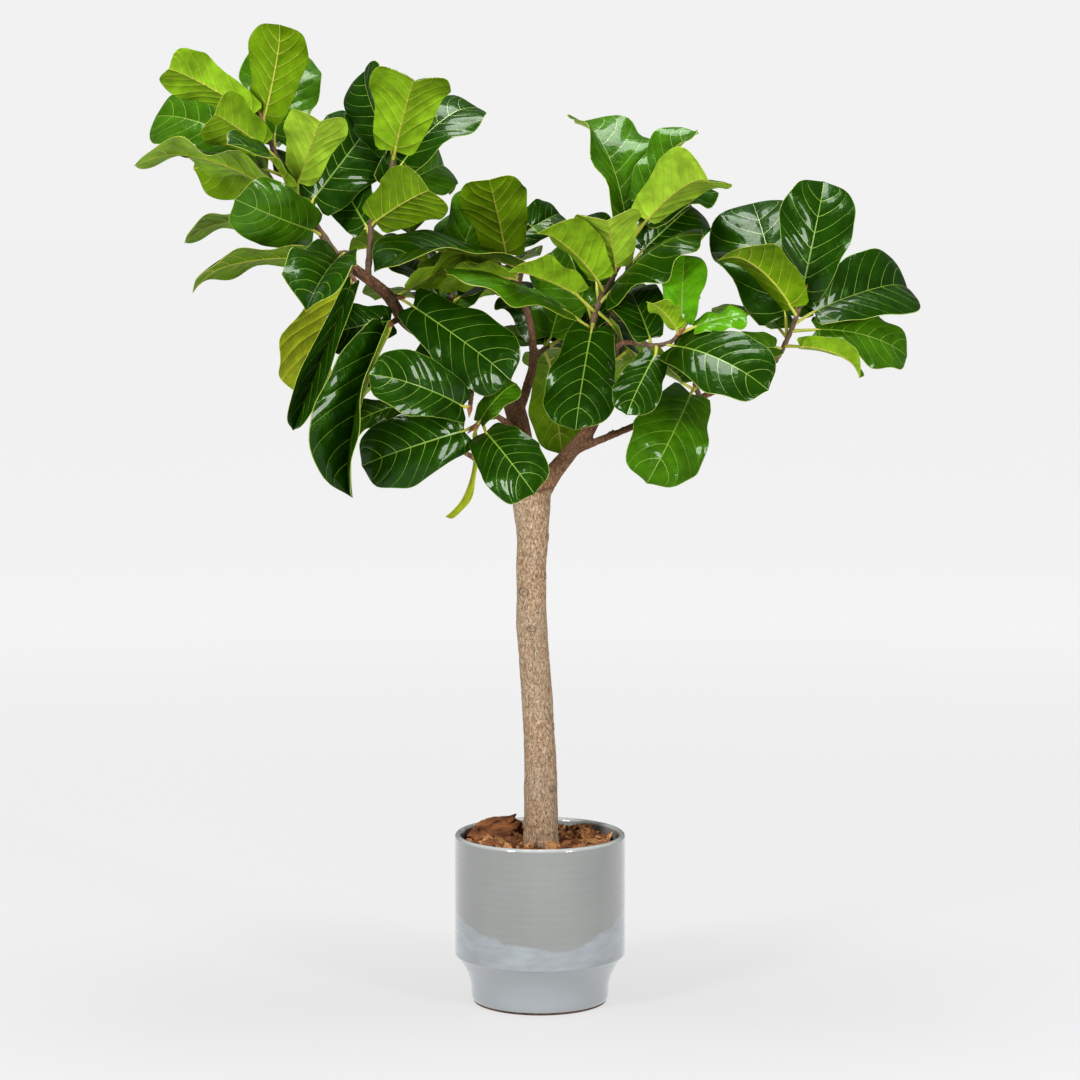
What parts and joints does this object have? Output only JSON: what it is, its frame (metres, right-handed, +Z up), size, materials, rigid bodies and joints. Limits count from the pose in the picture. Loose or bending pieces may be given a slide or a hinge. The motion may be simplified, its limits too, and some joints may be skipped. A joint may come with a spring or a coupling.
{
  "type": "potted fiddle-leaf fig tree",
  "caption": "Standard fiddle-leaf fig with a bare trunk, spreading boughs and large leaves, planted in a round glazed pot that draws in to a narrower foot.",
  "frame": {"origin": "centre of the pot's flat underside", "axes": "+Z up the trunk; from the front, looking along +Y, +X is to the right"},
  "size_m": [1.8081, 0.7756, 2.2678],
  "materials": {
    "glaze": "glossy grey glaze",
    "soil": "dark moist potting mix",
    "mulch": "rough bark chips",
    "bark": "finely fissured grey-tan bark",
    "bough_bark": "brown bark",
    "leaf": "glossy upper side, paler matt underside"
  },
  "bodies": {
    "root": {"pot": "glaze", "potting_soil": "soil", "bark_mulch": "mulch", "trunk": "bark", "bough_left": "bough_bark", "bough_right": "bough_bark", "bough_far_right": "bough_bark", "bough_right_front": "bough_bark", "bough_right_back": "bough_bark", "bough_middle": "bough_bark", "bough_low_left": "bough_bark", "bough_low_back": "bough_bark", "foliage_left_top": "leaf", "foliage_left_side": "leaf", "foliage_left_second": "leaf", "foliage_left_hanging": "leaf", "foliage_left_inner": "leaf", "foliage_left_low": "leaf", "foliage_front": "leaf", "foliage_low_front": "leaf", "foliage_low_left": "leaf", "foliage_middle": "leaf", "foliage_middle_back": "leaf", "foliage_right": "leaf", "foliage_right_top": "leaf", "foliage_right_front": "leaf", "foliage_right_low": "leaf", "foliage_far_right": "leaf", "foliage_inner": "leaf", "foliage_back_left": "leaf", "foliage_back_right": "leaf"}
  },
  "joints": []
}
